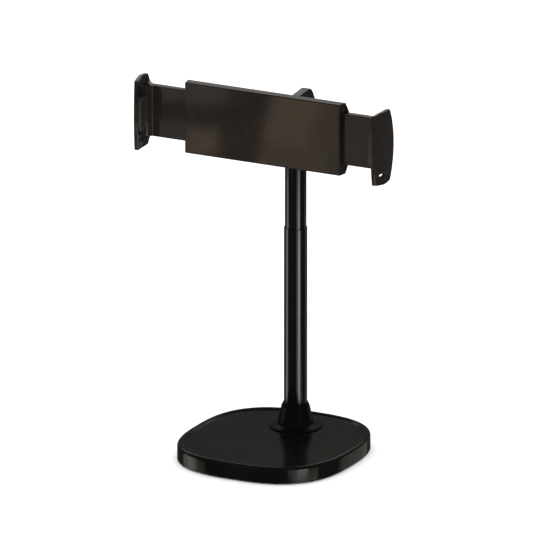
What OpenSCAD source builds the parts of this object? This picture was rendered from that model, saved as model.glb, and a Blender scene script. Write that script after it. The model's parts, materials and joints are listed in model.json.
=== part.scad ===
// Desktop tablet stand: weighted base, telescopic mast, swan-neck arm, tilting and turning clamp.
// Millimetres, +Z up. The origin is the centre of the footprint on the desk; the clamp faces -Y.

/* [Base] */
// Width of the base, left to right
base_w = 135.4; // [120:0.1:160]
// Depth of the base, front to back
base_d = 145; // [130:0.5:170]
// Height of the base to the top of its rim
base_h = 13.6; // [12.6:0.1:16]
// Squareness of the base outline, 2 is an ellipse
base_power = 2.74; // [2.2:0.01:4]
// Rounding of the base's outer top edge
base_round = 2.5; // [1:0.1:3]
// Width of the raised rim, with its rounding
rim_w = 4.6; // [3.5:0.1:8]
// Depth of the panel below the rim
rim_step = 1.3; // [0.6:0.1:2]
// Thickness of the rubber foot pad
foot_t = 1; // [0.8:0.1:1.2]

/* [Mast] */
// Distance of the mast axis behind the middle of the base
mast_y = 36.7; // [30:0.1:42]
// Outer diameter of the lower tube
lower_od = 18; // [17:0.5:20]
// Wall of the lower tube
lower_wall = 0.6; // [0.5:0.1:1]
// Height of the lower tube's mouth above the desk
lower_top = 172.3; // [165:0.1:185]
// Length of upper tube that stands out of the lower one at rest
upper_out = 53.7; // [52:0.1:60]
// Length of upper tube inside the lower one at rest
upper_in = 84.3; // [80:0.1:88]
// Radius of the collar's flange
collar_flange_r = 20.5; // [18:0.5:24]
// Height of the collar above the base panel
collar_h = 19.7; // [18:0.1:26]

/* [Neck] */
// Width of the neck bar, left to right
neck_w = 7.2; // [6.5:0.1:9]
// Thickness of the neck bar in its plane
neck_t = 8; // [7:0.1:10]
// How far the neck bulges behind the mast axis
bulge_back = 31.6; // [28:0.1:33]
// Height of the bulge below the tilt axis
bulge_drop = 14.8; // [10:0.1:16]
// How far the knee lies behind the mast axis
knee_back = 18.2; // [14:0.1:20]
// Height of the knee above the tilt axis
knee_rise = 9; // [4:0.1:10]

/* [Clamp] */
// How far the clamp's front face stands before the mast axis
clamp_reach = 56.9; // [56:0.1:58]
// Width of the clamp housing's front face
plate_w = 132; // [120:1:150]
// Height of the clamp housing
plate_h = 56.4; // [54:0.1:60]
// Depth of the clamp housing, front to back
plate_t = 12.6; // [12.4:0.1:14]
// Height of the clamp's centre above the desk
clamp_z = 266; // [262:0.1:272]
// Height of the slide arms
arm_h = 40.6; // [38:0.5:41]
// How far each jaw reaches from the middle at rest
jaw_reach = 105.4; // [103:0.1:112]
// Wall of the jaws
jaw_wall = 3.2; // [2.6:0.1:4]
// Height of the grip pads
pad_h = 26; // [16:1:30]

/* [Fits] */
// Radial clearance of the sliding and turning fits
run_fit = 0.08; // [0.04:0.01:0.1]
// Radial clearance of screws, and of parts that are pressed in
snug_fit = 0.05; // [0.02:0.01:0.1]
// Gap between flat faces that slide past each other
slide_gap = 0.25; // [0.15:0.05:0.3]

/* [Hidden] */
$fn = 64;
eps = 0.01;
black_plastic = [0.07, 0.065, 0.06];
black_steel = [0.05, 0.05, 0.055];
bare_steel = [0.62, 0.62, 0.64];
nylon = [0.82, 0.8, 0.74];
rubber = [0.12, 0.12, 0.12];

// Base, from the desk up
outline_steps = 96;
cover_wall = 2.2;
cover_bottom = foot_t - 0.1;
cover_edge = 0.5;
rim_slope = 1.2;
hole_gap = 0.3;
panel_z = base_h - rim_step;
ceiling_z = panel_z - cover_wall;
plate_bottom = foot_t;
plate_top = plate_bottom + 2;
weight_bottom = plate_top + 0.2;
weight_top = ceiling_z - 0.4;
base_screw_x = 48;
base_screw_y = 50;
base_screw_r = 1.5;
base_head_r = 2.8;
base_head_t = 1.3;
base_head_seat = plate_bottom + base_head_t + 0.1;
base_boss_r = 3.6;
base_screw_grip = 6;
recess_w = 0.6;
recess_t = 0.7;
mast_boss_r = 14;
bolt_r = 4;
bolt_head_r = 6.5;
bolt_head_t = 3.4;
bolt_hex_r = 2.9;
bolt_hex_t = 2.2;
bolt_washer_r = 7.6;
bolt_washer_t = 1.2;
bolt_seat_z = weight_top - 2;

// Mast
lower_r = lower_od / 2;
lower_bore = lower_r - lower_wall;
upper_r = lower_bore - run_fit;
upper_bore = upper_r - 1;
upper_top = lower_top + upper_out;
upper_bottom = lower_top - upper_in;
pole_plug_top = panel_z + 14.2;
mast_plug_h = 8;
mast_plug_grip = 14;
mast_plug_bore = 4.5;
ring_wire = 0.59;
ring_proud = 0.06;
ring_play = 0.1;
ring_z = upper_bottom - mast_plug_h / 2;
collar_neck_r = 10.9;
collar_foot_r = 14.2;
collar_rise = 1.3;
collar_edge = 0.6;
collar_fillet = 3.4;
collar_shoulder = 3;

// Swivel on top of the mast
bush_l = 14;
bush_flange_t = 2.5;
swivel_r = 3.5;
pin_grip = 4.9;
pin_tail = 4;
pin_groove = 0.8;
clip_r = 6;
clip_t = 0.9;
clip_mouth = 2.4;
swivel_spring_r = 6.4;
swivel_spring_t = 1.3;
hub_r = 9.2;
washer_z = upper_top + bush_flange_t + 0.1;
washer_t = 0.6;
hub_z = washer_z + washer_t + 0.1;
hub_h = 7;
bush_bottom = upper_top - bush_l;

// Clamp housing: "depth" is measured backwards from the front face
front_y = mast_y - clamp_reach;
front_wall = 3.5;
front_bevel = 0.9;
split_depth = 7.6;
end_flare = 2;
chamfer_h = 8;
chamfer_d = 4.5;
pocket_wall = 2.6;
pocket_rib = 1.6;
pocket_x = [5, 49];
rail_z = 14;
rail_half = 1.5;
rail_end = plate_w / 2 - 6;
arm_front = 5;
arm_rear = 10.5;
skin_rear = split_depth - slide_gap;
channel_h = arm_h + 2 * slide_gap;
channel_rear = arm_rear + slide_gap;
clamp_screw_x = 54;
clamp_screw_z = 22.8;
clamp_screw_r = 1.2;
clamp_screw_tip = 3.2;
clamp_head_r = 2.2;
clamp_head_t = 1.3;
clamp_head_seat = 8.8;
small_recess_w = 0.5;
turn_r = 2.5;
turn_head_r = 4.3;
turn_head_t = 1.4;
turn_washer_t = 0.5;
turn_seat = 10.9;
turn_head_front = turn_seat - turn_washer_t - turn_head_t - 0.06;
boss_r = 6.3;
boss_front = split_depth + 0.4;

// Tilt joint behind the clamp
back_y = front_y + plate_t;
turn_spring_t = 0.6;
disc_r = 14;
disc_y = back_y + turn_spring_t;
disc_t = 4;
tilt_y = back_y + 15.4;
eye_r = 7;
tilt_bolt_r = 2.5;
tilt_head_r = 4.6;
tilt_head_t = 2.8;
tilt_hex_r = 1.7;
tilt_nut_t = 4;
tilt_washer_t = 0.5;
cheek_in = neck_w / 2 + tilt_washer_t + 0.05;
cheek_t = 3.6;
cheek_out = cheek_in + cheek_t;

// Neck: its centre line in its own plane, each corner as [distance behind the mast axis, height]
neck_edge_r = 2;
root = [0, hub_z + 9.6];
bulge = [bulge_back, clamp_z - bulge_drop];
knee = [knee_back, clamp_z + knee_rise];
arm_end = [tilt_y - mast_y, clamp_z + 5];
root_bend = 8;
bulge_bend = 8;
knee_bend = 4.2;

// Rack and pinion that keeps both jaws centred
gear_module = 1;
pinion_teeth = 20;
pressure_angle = 20;
backlash = 0.3;
pitch_r = gear_module * pinion_teeth / 2;
tip_r = pitch_r + gear_module * 0.95;
root_r = pitch_r - 1.25 * gear_module;
base_r = pitch_r * cos(pressure_angle);
pinion_front = split_depth + 0.35;
pinion_rear = 10.3;
rack_pitch = PI * gear_module;
rack_teeth = 14;
rack_tip = pitch_r - gear_module * 0.95;
rack_root = pitch_r + 1.25 * gear_module;
pinion_spring_r = 8.3;
finger_end = -8;
skin_end = 33;
pocket_end = 68;

// Jaws: a wall with a shallow crease, seen from above and from the side
jaw_front_y = front_y - 14.5;
jaw_crease_y = front_y - 1.5;
jaw_rear_y = front_y + 15.7;
jaw_middle_y = (jaw_front_y + jaw_rear_y) / 2 - 0.6;
jaw_front_in = 2.7;
jaw_rear_in = 0.6;
jaw_half_h = 28.9;
jaw_end_r = 55;
jaw_front_r = 225;
jaw_rear_r = 61;
jaw_side_steps = 200;
jaw_fillet = 7;
pad_front_y = jaw_front_y + 1.6;
pad_rear_y = front_y + 2;
pad_proud = 2.8;
pad_inlay = 0.8;
pad_round = 4;
slot_y = front_y - 3.9;
slot_z = -21;
slot_l = 7.7;
slot_r = 1.1;

// ---- Shared shapes ----

function superellipse(half_x, half_y, power, steps) = [
    for (i = [0 : steps - 1])
        let (a = 360 * i / steps, c = cos(a), s = sin(a))
            [half_x * sign(c) * pow(abs(c), 2 / power), half_y * sign(s) * pow(abs(s), 2 / power)]
];

function base_outline(inset) =
    superellipse(base_w / 2 - inset, base_d / 2 - inset, base_power, outline_steps);

function arc_points(centre, radius, from, to, steps) = [
    for (i = [0 : steps])
        let (a = from + (to - from) * i / steps)
            centre + radius * [cos(a), sin(a)]
];

function round_rect(width, height, radius, steps = 4) = concat(
    arc_points([width / 2 - radius, height / 2 - radius], radius, 0, 90, steps),
    arc_points([radius - width / 2, height / 2 - radius], radius, 90, 180, steps),
    arc_points([radius - width / 2, radius - height / 2], radius, 180, 270, steps),
    arc_points([width / 2 - radius, radius - height / 2], radius, 270, 360, steps)
);

// A closed solid through level outlines of the base, each given as [inset, height]
module base_loft(levels) {
    n = outline_steps;
    last = len(levels) - 1;
    points = [for (level = levels) for (p = base_outline(level[0])) [p[0], p[1], level[1]]];
    sides = [
        for (k = [0 : last - 1])
            for (i = [0 : n - 1])
                let (j = (i + 1) % n)
                    [k * n + i, (k + 1) * n + i, (k + 1) * n + j, k * n + j]
    ];
    bottom = [for (i = [0 : n - 1]) i];
    top = [for (i = [0 : n - 1]) last * n + n - 1 - i];
    polyhedron(points, concat([bottom, top], sides));
}

module base_slab(inset, low, high) {
    translate([0, 0, low])
        linear_extrude(high - low) polygon(base_outline(inset));
}

module at_mast(z = 0) {
    translate([0, mast_y, z]) children();
}

module tube(outer, inner, low, high) {
    translate([0, 0, low])
        difference() {
            cylinder(r = outer, h = high - low);
            translate([0, 0, -eps]) cylinder(r = inner, h = high - low + 2 * eps);
        }
}

module at_base_screws(z = 0) {
    for (x = [-base_screw_x, base_screw_x])
        for (y = [-base_screw_y, base_screw_y])
            translate([x, y, z]) children();
}

// A cross for a driver, to be cut into a screw's head from a little below the origin upwards
module cross_recess(length, width, depth) {
    for (turn = [0, 90])
        rotate([0, 0, turn])
            translate([-length / 2, -width / 2, -eps]) cube([length, width, depth]);
}

// Moves a shape drawn along +Z from the front face so that it runs backwards from that face
module from_front(depth = 0) {
    translate([0, front_y + depth, clamp_z])
        rotate([-90, 0, 0]) children();
}

// Extrudes a plan outline, drawn in X and Y, over a height centred on the clamp
module plan_slab(points, height) {
    translate([0, 0, clamp_z - height / 2])
        linear_extrude(height) polygon(points);
}

// Extrudes a side outline, drawn in Y and Z, across X
module side_slab(from_x, to_x) {
    translate([from_x, 0, 0])
        rotate([90, 0, 90]) linear_extrude(to_x - from_x) children();
}

// A box given by its limits in X, in depth behind the front face and in Z about the clamp's centre
module clamp_box(x, depth, z) {
    translate([x[0], front_y + depth[0], clamp_z + z[0]])
        cube([x[1] - x[0], depth[1] - depth[0], z[1] - z[0]]);
}

// ---- Base ----

module base_cover() {
    levels = concat(
        [[cover_edge, cover_bottom], [0, cover_bottom + cover_edge]],
        arc_points([base_round, base_h - base_round], base_round, 180, 90, 5),
        [[rim_w, base_h], [rim_w + rim_slope, panel_z]]
    );
    color(black_plastic)
        difference() {
            union() {
                difference() {
                    base_loft(levels);
                    base_slab(cover_wall, cover_bottom - eps, ceiling_z);
                }
                at_base_screws(weight_bottom)
                    cylinder(r = base_boss_r, h = ceiling_z - weight_bottom + 1);
                at_mast(weight_top) cylinder(r = mast_boss_r, h = ceiling_z - weight_top + 1);
            }
            at_base_screws(weight_bottom - eps)
                cylinder(r = base_screw_r + snug_fit, h = base_screw_grip);
            at_mast(weight_top - eps) cylinder(r = bolt_r + hole_gap, h = base_h);
        }
}

module base_weight() {
    color(bare_steel)
        difference() {
            base_slab(cover_wall + 1, weight_bottom, weight_top);
            at_base_screws(weight_bottom - eps) cylinder(r = base_boss_r + hole_gap, h = base_h);
            at_mast(weight_bottom - eps)
                cylinder(r = bolt_washer_r + hole_gap, h = bolt_seat_z - weight_bottom + eps);
            at_mast(weight_bottom) cylinder(r = bolt_r + hole_gap, h = base_h);
        }
}

module bottom_plate() {
    color(black_plastic)
        difference() {
            base_slab(cover_wall + hole_gap, plate_bottom, plate_top);
            at_base_screws() {
                cylinder(r = base_screw_r + hole_gap, h = base_h);
                cylinder(r = base_head_r + hole_gap, h = base_head_seat);
            }
            at_mast() cylinder(r = bolt_washer_r + 1, h = base_h);
        }
}

module foot_pad() {
    color(rubber) base_slab(rim_w, 0, foot_t);
}

module base_screws() {
    shank = weight_bottom + base_screw_grip - 0.4 - base_head_seat;
    color(bare_steel)
        at_base_screws(base_head_seat)
            difference() {
                union() {
                    translate([0, 0, -base_head_t]) cylinder(r = base_head_r, h = base_head_t);
                    translate([0, 0, -eps]) cylinder(r = base_screw_r, h = shank);
                }
                translate([0, 0, -base_head_t]) cross_recess(3.2, recess_w, recess_t);
            }
}

module pole_bolt() {
    head_top = bolt_seat_z - bolt_washer_t;
    color(bare_steel)
        at_mast(head_top)
            difference() {
                union() {
                    translate([0, 0, -bolt_head_t]) cylinder(r = bolt_head_r, h = bolt_head_t);
                    translate([0, 0, -eps]) cylinder(r = bolt_r, h = pole_plug_top - head_top);
                }
                translate([0, 0, -bolt_head_t - eps]) cylinder(r = bolt_hex_r, h = bolt_hex_t, $fn = 6);
            }
}

module bolt_washer() {
    color(bare_steel)
        at_mast() tube(bolt_washer_r, bolt_r + 0.2, bolt_seat_z - bolt_washer_t, bolt_seat_z);
}

// ---- Mast ----

module pole_plug() {
    color(bare_steel)
        at_mast() tube(lower_bore - snug_fit, bolt_r + snug_fit, panel_z, pole_plug_top);
}

module lower_tube() {
    color(black_steel)
        at_mast() tube(lower_r, lower_bore, panel_z, lower_top);
}

// Bell-shaped trim over the foot of the lower tube
module collar() {
    bore = lower_r + snug_fit;
    flange_z = panel_z + collar_rise;
    edge_centre = [collar_flange_r - collar_edge, flange_z - collar_edge];
    fillet_centre = [collar_foot_r + collar_fillet, flange_z + collar_fillet];
    profile = concat(
        [[bore, panel_z], [collar_flange_r, panel_z]],
        arc_points(edge_centre, collar_edge, 0, 90, 3),
        arc_points(fillet_centre, collar_fillet, 270, 188, 6),
        [
            [collar_neck_r, panel_z + collar_h - collar_shoulder],
            [bore + 0.2, panel_z + collar_h],
            [bore, panel_z + collar_h]
        ]
    );
    color(black_plastic)
        at_mast() rotate_extrude() polygon(profile);
}

module upper_tube() {
    color(black_steel)
        at_mast() tube(upper_r, upper_bore, upper_bottom, upper_top);
}

// Nylon guide on the upper tube's lower end, with a groove for the friction ring
module mast_plug() {
    groove_r = upper_r + ring_proud - 2 * ring_wire;
    groove_half = ring_wire + ring_play;
    color(nylon)
        at_mast()
            difference() {
                union() {
                    translate([0, 0, upper_bottom - mast_plug_h])
                        cylinder(r = upper_r + ring_proud / 2, h = mast_plug_h);
                    translate([0, 0, upper_bottom - eps])
                        cylinder(r = upper_bore - snug_fit, h = mast_plug_grip);
                }
                tube(lower_r, groove_r, ring_z - groove_half, ring_z + groove_half);
                translate([0, 0, upper_bottom - mast_plug_h - eps])
                    cylinder(r = mast_plug_bore, h = mast_plug_h + mast_plug_grip + 1);
            }
}

module mast_ring() {
    color(rubber)
        at_mast(ring_z)
            rotate_extrude()
                translate([upper_r + ring_proud - ring_wire, 0]) circle(r = ring_wire, $fn = 24);
}

module swivel_bush() {
    color(nylon)
        at_mast(bush_bottom)
            difference() {
                union() {
                    cylinder(r = upper_bore - snug_fit, h = bush_l + eps);
                    translate([0, 0, bush_l]) cylinder(r = upper_r, h = bush_flange_t);
                }
                translate([0, 0, -eps]) cylinder(r = swivel_r + snug_fit, h = bush_l + bush_flange_t + 1);
            }
}

module thrust_washer() {
    color(nylon)
        at_mast() tube(upper_r, swivel_r + 0.4, washer_z, washer_z + washer_t);
}

// ---- Neck ----

function heading(from, to) = atan2(to[1] - from[1], to[0] - from[0]);

// Poses [point, heading] round a bend of the centre line that is tangent to the lines on both sides
function bend_poses(corner, angle_in, turn, radius, steps) =
    let (
        side = sign(turn),
        start = corner - radius * tan(abs(turn) / 2) * [cos(angle_in), sin(angle_in)],
        centre = start + side * radius * [-sin(angle_in), cos(angle_in)]
    ) [
        for (i = [0 : steps])
            let (a = angle_in + turn * i / steps)
                [centre + side * radius * [sin(a), -cos(a)], a]
    ];

// A closed solid of the neck's section, swept through poses in the plane X = 0
module neck_sweep(poses) {
    section = round_rect(neck_t, neck_w, neck_edge_r);
    n = len(section);
    last = len(poses) - 1;
    points = [
        for (pose = poses)
            for (p = section)
                [
                    p[1],
                    mast_y + pose[0][0] - p[0] * sin(pose[1]),
                    pose[0][1] + p[0] * cos(pose[1])
                ]
    ];
    sides = [
        for (k = [0 : last - 1])
            for (i = [0 : n - 1])
                let (j = (i + 1) % n)
                    [k * n + i, (k + 1) * n + i, (k + 1) * n + j, k * n + j]
    ];
    start = [for (i = [0 : n - 1]) i];
    end = [for (i = [n - 1 : -1 : 0]) last * n + i];
    polyhedron(points, concat([start, end], sides));
}

module neck_arm() {
    rise = heading(root, bulge);
    lean = heading(bulge, knee);
    run = heading(knee, arm_end) + 360;
    poses = concat(
        [[[0, hub_z + 2], 90]],
        bend_poses(root, 90, rise - 90, root_bend, 6),
        bend_poses(bulge, rise, lean - rise, bulge_bend, 9),
        bend_poses(knee, lean, run - lean, knee_bend, 6),
        [[arm_end, run]]
    );
    hub_profile = [
        [0, hub_z], [hub_r - 0.5, hub_z], [hub_r, hub_z + 0.5], [hub_r, hub_z + hub_h - 2],
        [hub_r - 3, hub_z + hub_h], [0, hub_z + hub_h]
    ];
    color(black_plastic)
        difference() {
            union() {
                neck_sweep(poses);
                at_mast() rotate_extrude() polygon(hub_profile);
                across_eye(eye_r, -neck_w / 2, neck_w / 2);
            }
            across_eye(tilt_bolt_r + snug_fit, -neck_w, neck_w);
            at_mast(hub_z - eps) cylinder(r = swivel_r + 0.02, h = pin_grip + 0.1);
        }
}

// A cylinder along X on the tilt axis
module across_eye(radius, from_x, to_x, sides = $fn) {
    translate([from_x, tilt_y, clamp_z])
        rotate([0, 90, 0]) cylinder(r = radius, h = to_x - from_x, $fn = sides);
}

module swivel_pin() {
    low = bush_bottom - pin_tail;
    color(bare_steel)
        at_mast(low)
            difference() {
                cylinder(r = swivel_r, h = hub_z + pin_grip - low);
                tube(swivel_r + 1, swivel_r - pin_groove, 1, 2);
            }
}

module swivel_spring() {
    top = bush_bottom - 0.1;
    color(bare_steel)
        at_mast() tube(swivel_spring_r, swivel_r + 0.2, top - swivel_spring_t, top);
}

// Retaining clip, open at the back, in the pin's groove
module swivel_clip() {
    gap = (1 - clip_t) / 2;
    color(bare_steel)
        at_mast(bush_bottom - pin_tail)
            difference() {
                tube(clip_r, swivel_r - pin_groove + 0.05, 1 + gap, 2 - gap);
                translate([-clip_mouth / 2, 0, 0]) cube([clip_mouth, clip_r + 1, 3]);
            }
}

// ---- Tilt joint ----

module tilt_knuckle() {
    fork_y = disc_y + disc_t / 2;
    color(black_plastic)
        difference() {
            union() {
                from_front(disc_y - front_y) cylinder(r = disc_r, h = disc_t);
                for (side = [-1, 1])
                    translate([side > 0 ? cheek_in : -cheek_out, 0, 0]) {
                        translate([0, fork_y, clamp_z - eye_r])
                            cube([cheek_t, tilt_y - fork_y, 2 * eye_r]);
                        across_eye(eye_r, 0, cheek_t);
                    }
            }
            across_eye(tilt_bolt_r + snug_fit, -disc_r, disc_r);
            from_front(plate_t) cylinder(r = turn_r + snug_fit, h = 2 * disc_t);
        }
}

module tilt_bolt() {
    color(bare_steel)
        difference() {
            union() {
                across_eye(tilt_bolt_r, -cheek_out - tilt_nut_t - 0.6, cheek_out + eps);
                across_eye(tilt_head_r, cheek_out, cheek_out + tilt_head_t);
            }
            across_eye(tilt_hex_r, cheek_out + tilt_head_t / 2, cheek_out + tilt_head_t + 1, 6);
        }
}

module tilt_nut() {
    color(bare_steel)
        difference() {
            across_eye(tilt_head_r, -cheek_out - tilt_nut_t, -cheek_out, 6);
            across_eye(tilt_bolt_r + snug_fit, -disc_r - tilt_nut_t, 0);
        }
}

module tilt_washers() {
    gap = (cheek_in - neck_w / 2 - tilt_washer_t) / 2;
    color(nylon)
        for (from_x = [neck_w / 2 + gap, gap - cheek_in])
            difference() {
                across_eye(eye_r - 0.4, from_x, from_x + tilt_washer_t);
                across_eye(tilt_bolt_r + 0.2, -disc_r, disc_r);
            }
}

// ---- Clamp housing ----

module turn_screw() {
    shank_end = disc_y + disc_t - front_y;
    color(bare_steel)
        difference() {
            union() {
                from_front(turn_head_front) cylinder(r = turn_head_r, h = turn_head_t);
                from_front(turn_head_front + turn_head_t - eps)
                    cylinder(r = turn_r, h = shank_end - turn_head_front - turn_head_t);
            }
            from_front(turn_head_front) cross_recess(4.4, 0.8, 0.8);
        }
}

module turn_washer() {
    color(bare_steel)
        from_front() tube(turn_head_r, turn_r + 0.15, turn_seat - turn_washer_t - 0.03, turn_seat - 0.03);
}

module turn_spring() {
    color(bare_steel)
        from_front() tube(disc_r - 2, turn_r + 1.5, plate_t + 0.05, plate_t + turn_spring_t - 0.05);
}

// Plan outline of the housing between two depths; its ends flare towards the rear
function housing_plan(from, to, bevel) =
    let (
        half = plate_w / 2,
        slope = end_flare / plate_t,
        right = [
            [half - bevel, front_y + from], [half + slope * (from + bevel), front_y + from + bevel],
            [half + slope * to, front_y + to]
        ],
        left = [for (i = [2 : -1 : 0]) [-right[i][0], right[i][1]]]
    ) concat(right, left);

module clamp_front() {
    half = plate_h / 2;
    inner = channel_h / 2;
    side_outline = [
        [0, front_bevel - half], [front_bevel, -half], [split_depth, -half],
        [split_depth, half], [front_bevel, half], [0, half - front_bevel]
    ];
    color(black_plastic)
        difference() {
            intersection() {
                plan_slab(housing_plan(0, split_depth, front_bevel), plate_h);
                side_slab(-plate_w, plate_w)
                    translate([front_y, clamp_z]) polygon(side_outline);
            }
            difference() {
                clamp_box([-plate_w, plate_w], [front_wall, split_depth + 1], [-inner, inner]);
                for (z = [-rail_z, rail_z])
                    clamp_box(
                        [-rail_end, rail_end], [0, arm_front - slide_gap], [z - rail_half, z + rail_half]
                    );
            }
            for (x = [pocket_x, -[pocket_x[1], pocket_x[0]]])
                for (z = [[inner + pocket_rib, half - 2], [2 - half, -inner - pocket_rib]])
                    clamp_box(x, [pocket_wall, split_depth + 1], z);
            at_clamp_screws(clamp_screw_tip - 0.4)
                cylinder(r = clamp_screw_r + snug_fit, h = split_depth);
        }
}

// Screw axes of the housing, from a depth behind its front face
module at_clamp_screws(depth) {
    for (x = [-clamp_screw_x, 0, clamp_screw_x])
        for (z = [-clamp_screw_z, clamp_screw_z])
            translate([x, 0, z]) from_front(depth) children();
}

module clamp_back() {
    half = plate_h / 2;
    inner = channel_h / 2;
    side_outline = [
        [split_depth, -half], [plate_t - chamfer_d, -half], [plate_t, chamfer_h - half],
        [plate_t, half - chamfer_h], [plate_t - chamfer_d, half], [split_depth, half]
    ];
    color(black_plastic)
        difference() {
            union() {
                difference() {
                    intersection() {
                        plan_slab(housing_plan(split_depth, plate_t, 0), plate_h);
                        side_slab(-plate_w, plate_w)
                            translate([front_y, clamp_z]) polygon(side_outline);
                    }
                    clamp_box([-plate_w, plate_w], [split_depth - 1, channel_rear], [-inner, inner]);
                }
                from_front(boss_front) cylinder(r = boss_r, h = channel_rear - boss_front + 1);
            }
            from_front(boss_front - eps)
                cylinder(r = turn_head_r + hole_gap, h = turn_seat - boss_front + eps);
            from_front(turn_seat - 1) cylinder(r = turn_r + run_fit, h = 6);
            at_clamp_screws(split_depth - 1) cylinder(r = clamp_screw_r + hole_gap, h = plate_t);
            at_clamp_screws(clamp_head_seat) cylinder(r = clamp_head_r + hole_gap, h = plate_t);
        }
}

module clamp_screws() {
    color(bare_steel)
        difference() {
            union() {
                at_clamp_screws(clamp_screw_tip)
                    cylinder(r = clamp_screw_r, h = clamp_head_seat - clamp_screw_tip + eps);
                at_clamp_screws(clamp_head_seat) cylinder(r = clamp_head_r, h = clamp_head_t);
            }
            at_clamp_screws(clamp_head_seat + clamp_head_t + eps)
                mirror([0, 0, 1]) cross_recess(2.6, small_recess_w, 0.6);
        }
}

// ---- Rack and pinion ----

function involute(radius) =
    let (a = acos(base_r / radius)) tan(a) * 180 / PI - a;

// Half of a pinion tooth's angle at a radius
function tooth_half_angle(radius) =
    90 / pinion_teeth - backlash / 4 / pitch_r * 180 / PI + involute(pitch_r) - involute(max(radius, base_r));

function polar(radius, angle) = [radius * cos(angle), radius * sin(angle)];

function pinion_outline() =
    let (radii = [root_r, base_r, for (i = [1 : 3]) base_r + (tip_r - base_r) * i / 3])
        [
            for (tooth = [0 : pinion_teeth - 1])
                let (middle = 360 * tooth / pinion_teeth)
                    each concat(
                        [for (r = radii) polar(r, middle - tooth_half_angle(r))],
                        [for (i = [4 : -1 : 0]) polar(radii[i], middle + tooth_half_angle(radii[i]))]
                    )
        ];

module pinion() {
    color(nylon)
        from_front(pinion_front)
            difference() {
                linear_extrude(pinion_rear - pinion_front) polygon(pinion_outline());
                translate([0, 0, -eps]) cylinder(r = boss_r + run_fit, h = plate_t);
            }
}

module pinion_spring() {
    color(bare_steel)
        from_front() tube(pinion_spring_r, boss_r + 0.1, pinion_rear + 0.08, channel_rear - 0.04);
}

// Toothed edge of a rack as seen from the front, with a tooth gap at X = 0; teeth point down
function rack_outline(from_x, to_x, top) =
    let (
        half_pitch_w = (rack_pitch - backlash) / 4,
        slope = tan(pressure_angle),
        tip_half = half_pitch_w - slope * (pitch_r - rack_tip),
        root_half = half_pitch_w + slope * (rack_root - pitch_r),
        first = ceil(from_x / rack_pitch - 0.2) + 0.5,
        teeth = [
            for (i = [0 : rack_teeth - 2])
                let (x = (first + i) * rack_pitch)
                    each [
                        [x - root_half, rack_root], [x - tip_half, rack_tip],
                        [x + tip_half, rack_tip], [x + root_half, rack_root]
                    ]
        ]
    ) concat([[from_x, rack_root]], teeth, [[to_x, rack_root], [to_x, top], [from_x, top]]);

// ---- Jaws ----
// Drawn as the right jaw. The left one is the same shape turned about the clamp's axis, except for
// the slot, which both jaws have near their lower end.

function jaw_plan(out) = [
    [jaw_reach - jaw_front_in - out, jaw_front_y], [jaw_reach - out, jaw_crease_y],
    [jaw_reach - jaw_rear_in - out, jaw_rear_y]
];

function band(outer, inner) = concat(outer, [for (i = [len(inner) - 1 : -1 : 0]) inner[i]]);

// The jaw from the side: four arcs meet at its corners
module jaw_side() {
    steps = jaw_side_steps;
    end_sink = jaw_end_r - jaw_half_h;
    translate([0, clamp_z])
        intersection() {
            translate([jaw_middle_y, -end_sink]) circle(r = jaw_end_r, $fn = steps);
            translate([jaw_middle_y, end_sink]) circle(r = jaw_end_r, $fn = steps);
            translate([jaw_front_y + jaw_front_r, 0]) circle(r = jaw_front_r, $fn = steps);
            translate([jaw_rear_y - jaw_rear_r, 0]) circle(r = jaw_rear_r, $fn = steps);
        }
}

// The grip pad, let into the jaw's inner face
module jaw_pad_shape() {
    inner = jaw_plan(jaw_wall);
    front_slope = (inner[1][0] - inner[0][0]) / (jaw_crease_y - jaw_front_y);
    rear_slope = (inner[2][0] - inner[1][0]) / (jaw_rear_y - jaw_crease_y);
    face = [
        [inner[1][0] + front_slope * (pad_front_y - jaw_crease_y), pad_front_y],
        inner[1],
        [inner[1][0] + rear_slope * (pad_rear_y - jaw_crease_y), pad_rear_y]
    ];
    let_in = [for (p = face) p + [pad_inlay, 0]];
    proud = [for (p = face) p - [pad_proud, 0]];
    intersection() {
        plan_slab(band(let_in, proud), pad_h);
        side_slab(0, jaw_reach)
            translate([(pad_front_y + pad_rear_y) / 2, clamp_z])
                polygon(round_rect(pad_rear_y - pad_front_y, pad_h, pad_round, 6));
    }
}

// The fillet between the arm's front and the jaw's inner face
module jaw_arm_fillet(inner_x) {
    corner = [inner_x - jaw_fillet, front_y + arm_front - jaw_fillet];
    side = jaw_fillet + 1;
    intersection() {
        difference() {
            translate([corner[0], corner[1], clamp_z - arm_h / 2]) cube([side, side, arm_h]);
            translate([corner[0], corner[1], clamp_z - arm_h]) cylinder(r = jaw_fillet, h = 2 * arm_h);
        }
        side_slab(0, jaw_reach + 1) jaw_side();
    }
}

// A slot with round ends through the jaw, at a height from the clamp's centre
module jaw_slot(z) {
    cut = 16;
    translate([jaw_reach - cut / 2, slot_y, clamp_z + z]) {
        for (end = [-1, 1])
            translate([0, end * (slot_l / 2 - slot_r), 0])
                rotate([0, 90, 0]) cylinder(r = slot_r, h = cut);
        translate([0, slot_r - slot_l / 2, -slot_r]) cube([cut, slot_l - 2 * slot_r, 2 * slot_r]);
    }
}

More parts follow.
